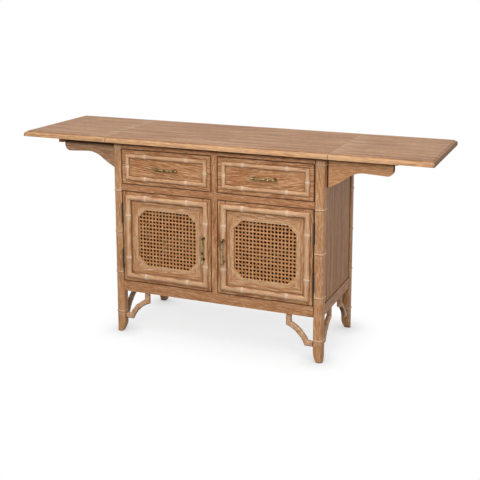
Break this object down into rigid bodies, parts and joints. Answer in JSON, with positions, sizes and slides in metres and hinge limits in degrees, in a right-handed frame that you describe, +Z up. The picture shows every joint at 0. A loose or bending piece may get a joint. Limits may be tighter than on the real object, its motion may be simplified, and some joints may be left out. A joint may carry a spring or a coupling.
{
  "type": "drop leaf server",
  "caption": "Oak sideboard with faux-bamboo posts and mouldings, drawers over caned doors, and a top whose end leaves rest on fold-out brackets.",
  "frame": {"origin": "on the floor, at the middle of the overall box with the leaves up", "axes": "+Z up, the drawers and doors face -Y, +X to the right seen from the front, along the length of the top"},
  "size_m": [1.89, 0.533, 0.914],
  "materials": {
    "oak_frame": "washed oak, satin lacquer",
    "oak_top": "washed oak, satin lacquer",
    "oak_panel": "washed oak veneer, satin lacquer",
    "inside_wood": "dark brown stain, matt",
    "cane": "woven natural cane",
    "brass": "aged brass",
    "black_iron": "blackened, satin",
    "steel": "dull plated steel"
  },
  "bodies": {
    "case": {"front_left_post": "oak_frame", "front_right_post": "oak_frame", "back_left_post": "oak_frame", "back_right_post": "oak_frame", "front_top_rail": "oak_frame", "front_mid_rail": "oak_frame", "front_bottom_rail": "oak_frame", "drawer_stile": "oak_frame", "door_stile": "oak_frame", "left_side_panel": "oak_panel", "right_side_panel": "oak_panel", "left_side_rail": "oak_frame", "right_side_rail": "oak_frame", "side_top_rails": "inside_wood", "back_panel": "inside_wood", "back_rails": "inside_wood", "bottom_board": "inside_wood", "dust_board": "inside_wood", "shelf": "inside_wood", "shelf_pins": "steel", "drawer_runners": "inside_wood", "front_spandrels": "oak_frame", "left_side_spandrels": "oak_frame", "right_side_spandrels": "oak_frame", "centre_top": "oak_top", "left_leaf": "oak_top", "right_leaf": "oak_top", "leaf_hinges": "steel", "leaf_stop_blocks": "oak_frame", "bracket_hinge_strips": "oak_frame", "bracket_hinge_plates": "black_iron", "door_hinge_plates": "black_iron", "door_catches": "black_iron"},
    "left_door": {"left_door_frame": "oak_frame", "left_door_moulding": "oak_frame", "left_door_panel": "oak_panel", "left_cane": "cane", "left_cane_bead": "oak_frame", "left_door_pull": "brass", "left_door_hinge_leaves": "black_iron"},
    "left_drawer": {"left_drawer_front": "oak_panel", "left_drawer_moulding": "oak_frame", "left_drawer_box": "inside_wood", "left_drawer_pull": "brass"},
    "left_fly_bracket": {"left_bracket": "oak_frame", "left_bracket_hinge_leaf": "black_iron"},
    "right_door": {"right_door_frame": "oak_frame", "right_door_moulding": "oak_frame", "right_door_panel": "oak_panel", "right_cane": "cane", "right_cane_bead": "oak_frame", "right_door_pull": "brass", "right_door_hinge_leaves": "black_iron"},
    "right_drawer": {"right_drawer_front": "oak_panel", "right_drawer_moulding": "oak_frame", "right_drawer_box": "inside_wood", "right_drawer_pull": "brass"},
    "right_fly_bracket": {"right_bracket": "oak_frame", "right_bracket_hinge_leaf": "black_iron"}
  },
  "joints": [
    {"name": "left_door_hinge", "type": "hinge", "parent": "case", "child": "left_door", "pos_m": [-0.452, -0.2354, 0.4595], "axis": [0, 0, -1], "range_deg": [0, 110]},
    {"name": "left_drawer_slide", "type": "slide", "parent": "case", "child": "left_drawer", "axis": [0, -1, 0], "range_m": [0, 0.3]},
    {"name": "left_bracket_hinge", "type": "hinge", "parent": "case", "child": "left_fly_bracket", "pos_m": [-0.49605, -0.1693, 0.8297], "axis": [0, 0, -1], "range_deg": [0, 90]},
    {"name": "right_door_hinge", "type": "hinge", "parent": "case", "child": "right_door", "pos_m": [0.452, -0.2354, 0.4595], "axis": [0, 0, 1], "range_deg": [0, 110]},
    {"name": "right_drawer_slide", "type": "slide", "parent": "case", "child": "right_drawer", "axis": [0, -1, 0], "range_m": [0, 0.3]},
    {"name": "right_bracket_hinge", "type": "hinge", "parent": "case", "child": "right_fly_bracket", "pos_m": [0.49605, -0.1693, 0.8297], "axis": [0, 0, 1], "range_deg": [0, 90]}
  ]
}
